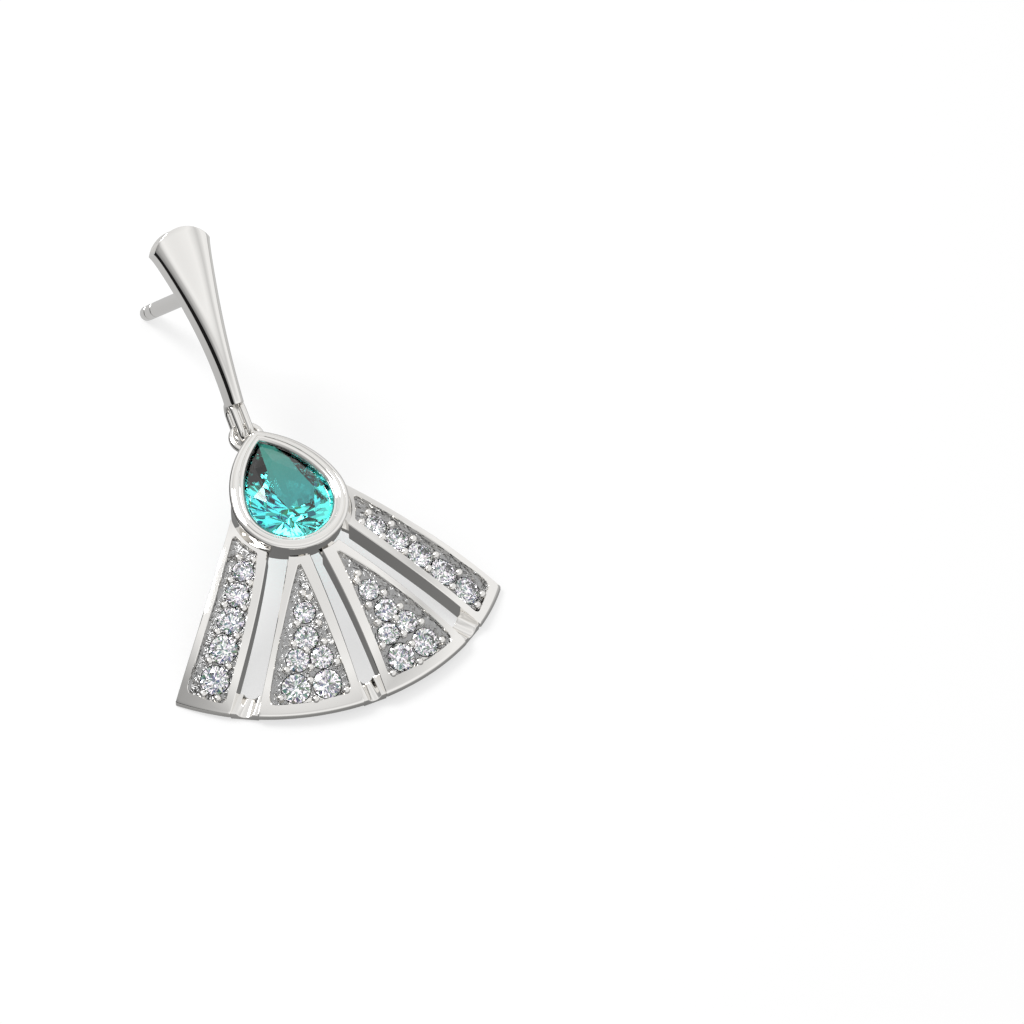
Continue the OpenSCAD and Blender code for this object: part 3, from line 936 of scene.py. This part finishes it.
class EARRING_OT_fan(bpy.types.Operator):
    """Builds the fan's four blades with their beds and seats, and the three bridges"""
    bl_idname = "earring.fan"
    bl_label = "Fan"

    def execute(self, context):
        inner = blade("inner_blade", MIDDLE_SLOT, SLOT_INSIDE, INNER_BED_INSIDE, INNER_BED_SIDE,
                      (0.05, 0.35, 0.3, 0.05))
        cut_seats(inner, INNER_STONES)
        # The beds' floors and seats take a darker grey metal: painted shade.
        dress(inner, bright_metal(), shaded_bed_metal())
        shade_bed(inner, INNER_BED_INSIDE, INNER_BED_SIDE)
        outer = blade("outer_blade", SLOT_OUTSIDE, BLADE_SIDE, OUTER_BED_INSIDE, OUTER_BED_SIDE,
                      (0.3, 0.3, 0.3, 0.12))
        cut_seats(outer, OUTER_STONES)
        dress(outer, bright_metal(), shaded_bed_metal())
        shade_bed(outer, OUTER_BED_INSIDE, OUTER_BED_SIDE)
        middle = bridge("middle_bridge", MIDDLE_SLOT, MIDDLE_SLOT)
        fill_ends(middle)
        side = bridge("side_bridge", SLOT_INSIDE, SLOT_OUTSIDE)
        fill_ends(side)
        for piece in (middle, side):
            apply_modifier(piece, "BEVEL", width=0.03, segments=2, limit_method="ANGLE",
                           angle_limit=math.radians(40))
        inner_ledge = root_ledge("inner_ledge", lambda r: edge_angle(MIDDLE_SLOT, r),
                                 lambda r: edge_angle(SLOT_INSIDE, r))
        outer_ledge = root_ledge("outer_ledge", lambda r: edge_angle(SLOT_OUTSIDE, r),
                                 lambda r: math.asin(BLADE_SIDE[0][1] / r))
        for piece in (middle, side, inner_ledge, outer_ledge):
            dress(piece, bright_metal(), shaded_bed_metal())
        pieces = [inner, outer, side, inner_ledge, outer_ledge]
        pieces += [mirrored(p) for p in pieces]
        fan = join("fan_plate", [middle] + pieces)
        smooth(fan)
        settle(fan, None, ["drop_frame"])
        return {"FINISHED"}


class EARRING_OT_beads(bpy.types.Operator):
    """Builds the metal beads that hold the small stones"""
    bl_idname = "earring.beads"
    bl_label = "Beads"

    def execute(self, context):
        beads = join("setting_beads", [bead_shape(p, s) for p in bead_places() for s in (-1, 1)])
        smooth(beads, 80)
        settle(beads, bright_metal(), ["drop_frame"])
        return {"FINISHED"}


class EARRING_OT_cup(bpy.types.Operator):
    """Builds the pear cup and the ring on its back"""
    bl_idname = "earring.cup"
    bl_label = "Pear Cup"

    def execute(self, context):
        cup = cup_shape()
        smooth(cup, 40)
        settle(cup, bright_metal(), ["drop_frame"])
        ring = join("drop_ring", [ring_shape()])
        smooth(ring, 80)
        settle(ring, bright_metal(), ["drop_frame"])
        return {"FINISHED"}


class EARRING_OT_stud(bpy.types.Operator):
    """Builds the flared bar, its twin loops and the ear post"""
    bl_idname = "earring.stud"
    bl_label = "Stud"

    def execute(self, context):
        bar = bar_shape()
        smooth(bar, 40)
        settle(bar, bright_metal(), ["stud"])
        loops = join("twin_loops", [loop_shape(-LOOP_X), loop_shape(LOOP_X)])
        smooth(loops, 80)
        settle(loops, bright_metal(), ["stud"])
        post = post_shape()
        smooth(post, 40)
        settle(post, bright_metal(), ["stud"])
        return {"FINISHED"}


class EARRING_OT_stones(bpy.types.Operator):
    """Gives the pear and the small stones their finish"""
    bl_idname = "earring.stones"
    bl_label = "Stones"

    def execute(self, context):
        values = finish_values()
        pear = stone_material("teal_pear", values.pear_colour, PEAR_IOR)
        green_tip(pear, values.tip_colour)
        clear = stone_material("clear_cut", values.clear_colour, CLEAR_IOR)
        silver = metal_material("silvered_back", (0.93, 0.93, 0.95), 0.0, 0.01, 0.0)
        for name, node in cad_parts.items():
            if "stone" not in name:
                continue
            node.data.materials.clear()
            node.data.materials.append(pear if name == "pear_stone" else clear)
            if name != "pear_stone":
                node.data.materials.append(silver)
            for face in node.data.polygons:
                face.use_smooth = False
                if name != "pear_stone" and face.normal.z < -0.2:
                    face.material_index = 1
        return {"FINISHED"}


class EARRING_OT_stage(bpy.types.Operator):
    """Lays the floor and sets the lights and the camera"""
    bl_idname = "earring.stage"
    bl_label = "Stage"

    def execute(self, context):
        lay_floor()
        light_studio()
        set_camera()
        return {"FINISHED"}


def set_ramp(ramp, stops):
    """Gives a colour ramp its stops, each a place and a grey."""
    elements = ramp.color_ramp.elements
    while len(elements) < len(stops):
        elements.new(0.5)
    for element, (at, grey) in zip(elements, stops):
        element.position = at
        element.color = (grey, grey, grey, 1.0)


def ramped(tree, value, stops):
    """A colour ramp on a value."""
    node = tree.nodes.new("ShaderNodeValToRGB")
    set_ramp(node, stops)
    tree.links.new(value, node.inputs["Fac"])
    return node.outputs["Color"]


def ranged(tree, value, start, stop, low=0.0, high=1.0, kind="LINEAR"):
    """One stretch of a value mapped to another."""
    node = tree.nodes.new("ShaderNodeMapRange")
    node.interpolation_type = kind
    for name, number in (("From Min", start), ("From Max", stop), ("To Min", low), ("To Max", high)):
        node.inputs[name].default_value = number
    tree.links.new(value, node.inputs["Value"])
    return node.outputs["Result"]


def reckoned(tree, operation, first, second):
    """A sum on a socket and either a number or another socket."""
    node = tree.nodes.new("ShaderNodeMath")
    node.operation = operation
    tree.links.new(first, node.inputs[0])
    if isinstance(second, float):
        node.inputs[1].default_value = second
    else:
        tree.links.new(second, node.inputs[1])
    return node.outputs["Value"]


def split_place(tree, place):
    """A place's X, Y and Z."""
    node = tree.nodes.new("ShaderNodeSeparateXYZ")
    tree.links.new(place, node.inputs["Vector"])
    return node.outputs


def blended(tree, share, first, second, kind="MIX"):
    """Two colours blended by a share, which is a number or a socket."""
    node = tree.nodes.new("ShaderNodeMix")
    node.data_type = "RGBA"
    node.blend_type = kind
    if isinstance(share, float):
        node.inputs["Factor"].default_value = share
    else:
        tree.links.new(share, node.inputs["Factor"])
    tree.links.new(first, node.inputs["A"])
    tree.links.new(second, node.inputs["B"])
    return node.outputs["Result"]


def chosen_shader(tree, share, first, second):
    """The first shader, or the second by a share."""
    node = tree.nodes.new("ShaderNodeMixShader")
    tree.links.new(share, node.inputs["Fac"])
    tree.links.new(first, node.inputs[1])
    tree.links.new(second, node.inputs[2])
    return node.outputs["Shader"]


def floor_material():
    """White to the camera, and graded grey to the metal and the stones: that grey is emitted, a painted
    reflection that is darker near the earring as painted shadow and dark past a line on the left.
    """
    material, tree, shader = new_material("pale_floor")
    shader.inputs["Base Color"].default_value = FLOOR_COLOUR
    shader.inputs["Roughness"].default_value = FLOOR_ROUGHNESS
    shader.inputs["Specular IOR Level"].default_value = 0.0
    place = tree.nodes.new("ShaderNodeTexCoord").outputs["Object"]
    path = tree.nodes.new("ShaderNodeLightPath").outputs
    away = tree.nodes.new("ShaderNodeVectorMath")
    away.operation = "DISTANCE"
    away.inputs[1].default_value = SHADE_CENTRE
    tree.links.new(place, away.inputs[0])
    # Painted shadow in what the metal reflects: darker grey near the earring, and dark past a line on the
    # left
    graded = ramped(tree, ranged(tree, away.outputs["Value"], 0.0, SHADE_REACH), FLOOR_SHADES)
    beside = ranged(tree, split_place(tree, place)["X"], *DARK_STRIP, STRIP_SHADE)
    shaded = reckoned(tree, "MULTIPLY", graded, beside)
    through = reckoned(tree, "MULTIPLY", path["Is Transmission Ray"], STONE_FLOOR)
    dimmed = tree.nodes.new("ShaderNodeEmission")
    tree.links.new(reckoned(tree, "MAXIMUM", shaded, through), dimmed.inputs["Color"])
    either = reckoned(tree, "MAXIMUM", path["Is Glossy Ray"], path["Is Transmission Ray"])
    chosen = chosen_shader(tree, either, shader.outputs["BSDF"], dimmed.outputs["Emission"])
    glow = tree.nodes.new("ShaderNodeEmission")
    glow.inputs["Strength"].default_value = GLOW_STRENGTH
    seen = reckoned(tree, "MULTIPLY", path["Is Camera Ray"], GLOW_SHARE)
    lifted = chosen_shader(tree, seen, chosen, glow.outputs["Emission"])
    tree.links.new(lifted, tree.nodes["Material Output"].inputs["Surface"])
    return material


def lay_floor():
    deselect()
    bpy.ops.mesh.primitive_plane_add(size=FLOOR_SIZE)
    floor = bpy.context.object
    floor.name = "floor"
    edit_all()
    bpy.ops.mesh.subdivide(number_cuts=FLOOR_CUTS)
    bpy.ops.object.mode_set(mode="OBJECT")
    dress(floor, floor_material())


def area_light(name, place, target, size, power, colour=(1.0, 1.0, 1.0)):
    deselect()
    bpy.ops.object.light_add(type="AREA", location=place)
    light = bpy.context.object
    light.name = name
    light.data.shape = "RECTANGLE"
    light.data.size, light.data.size_y = size
    light.data.energy = power
    light.data.color = colour
    look = Vector(target) - Vector(place)
    light.rotation_euler = look.to_track_quat("-Z", "Y").to_euler()
    return light


def background(tree, strength, colour=None):
    """A background shader of one strength, white unless it is given a colour."""
    node = tree.nodes.new("ShaderNodeBackground")
    node.inputs["Color"].default_value = (1.0, 1.0, 1.0, 1.0)
    node.inputs["Strength"].default_value = strength
    if colour:
        tree.links.new(colour, node.inputs["Color"])
    return node.outputs["Background"]


def banded_room(tree, place):
    """What the metal reflects: a dark horizon on one side, and a shaded left."""
    toward = split_place(tree, place)
    raised = ranged(tree, toward["Z"], -1.0, 1.0)
    heading = reckoned(tree, "ARCTAN2", toward["Y"], toward["X"])
    turn_share = ranged(tree, heading, -math.pi, math.pi)
    window = ramped(tree, turn_share, LIGHT_WINDOW)
    room = blended(tree, window, ramped(tree, raised, DARK_SIDE), ramped(tree, raised, LIGHT_SIDE))
    sides = ranged(tree, toward["X"], *SHADED_SIDE, SIDE_SHADE, 1.0, "SMOOTHSTEP")
    return background(tree, 1.0, blended(tree, 1.0, room, sides, "MULTIPLY"))


def mottled_room(tree, place):
    """What shows through the stones: light and dark cells, faintly coloured."""
    cells = tree.nodes.new("ShaderNodeTexVoronoi")
    cells.inputs["Scale"].default_value = CELL_SCALE
    tree.links.new(place, cells.inputs["Vector"])
    shade = tree.nodes.new("ShaderNodeSeparateColor")
    tree.links.new(cells.outputs["Color"], shade.inputs["Color"])
    spread = ramped(tree, shade.outputs["Red"], CELL_SHADES)
    return background(tree, CELL_STRENGTH, blended(tree, CELL_COLOUR, spread, cells.outputs["Color"]))


def light_studio():
    """An even white room for the floor, and other rooms for what the metal and the stones show."""
    world = bpy.data.worlds.new("studio")
    bpy.context.scene.world = world
    world.use_nodes = True
    tree = world.node_tree
    place = tree.nodes.new("ShaderNodeTexCoord").outputs["Generated"]
    path = tree.nodes.new("ShaderNodeLightPath").outputs
    even = background(tree, EVEN_STRENGTH)
    chosen = chosen_shader(tree, path["Is Glossy Ray"], even, banded_room(tree, place))
    bent = chosen_shader(tree, path["Is Transmission Ray"], chosen, mottled_room(tree, place))
    tree.links.new(bent, tree.nodes["World Output"].inputs["Surface"])
    area_light("key", KEY_AT, (0, 0, 0), KEY_SIZE, KEY_POWER)
    bpy.context.scene.view_settings.view_transform = "Standard"


def set_camera():
    turn = math.radians(VIEW_TURN)
    rise = math.radians(VIEW_RISE)
    out = Vector((math.sin(turn) * math.cos(rise), -math.cos(turn) * math.cos(rise), math.sin(rise)))
    right = Vector((math.cos(turn), math.sin(turn), 0.0))
    up = out.cross(right)
    turned = Matrix((right, up, out)).transposed().to_4x4()
    turned.translation = right * VIEW_ASIDE + out * VIEW_AWAY
    laid = Matrix.Translation((0, LAY_Y, LAY_Z)) @ Matrix.Rotation(-LAY_PITCH, 4, "X") @ turned
    laid.translation = laid.translation * MM
    deselect()
    bpy.ops.object.camera_add()
    camera = bpy.context.object
    camera.matrix_world = laid
    camera.data.lens = LENS_MM
    camera.data.sensor_width = SENSOR_MM
    camera.data.clip_start = NEAR_CLIP
    bpy.context.scene.camera = camera


class EARRING_PT_panel(bpy.types.Panel):
    bl_idname = "EARRING_PT_panel"
    bl_label = "Drop Earring"
    bl_space_type = "VIEW_3D"
    bl_region_type = "UI"
    bl_category = "Earring"

    def draw(self, context):
        values = context.scene.earring_finish
        for name in ("metal_colour", "pear_colour", "tip_colour", "clear_colour", "polish"):
            self.layout.prop(values, name)
        for operator in OPERATORS:
            self.layout.operator(operator.bl_idname)


OPERATORS = (
    EARRING_OT_fan,
    EARRING_OT_beads,
    EARRING_OT_cup,
    EARRING_OT_stud,
    EARRING_OT_stones,
    EARRING_OT_stage,
)
CLASSES = (EarringFinish, *OPERATORS, EARRING_PT_panel)


def register():
    for cls in CLASSES:
        bpy.utils.register_class(cls)
    bpy.types.Scene.earring_finish = bpy.props.PointerProperty(type=EarringFinish)


def unregister():
    del bpy.types.Scene.earring_finish
    for cls in reversed(CLASSES):
        bpy.utils.unregister_class(cls)


def main():
    register()
    bpy.ops.earring.fan()
    bpy.ops.earring.beads()
    bpy.ops.earring.cup()
    bpy.ops.earring.stud()
    bpy.ops.earring.stones()
    bpy.ops.earring.stage()


if __name__ == "__main__":
    main()
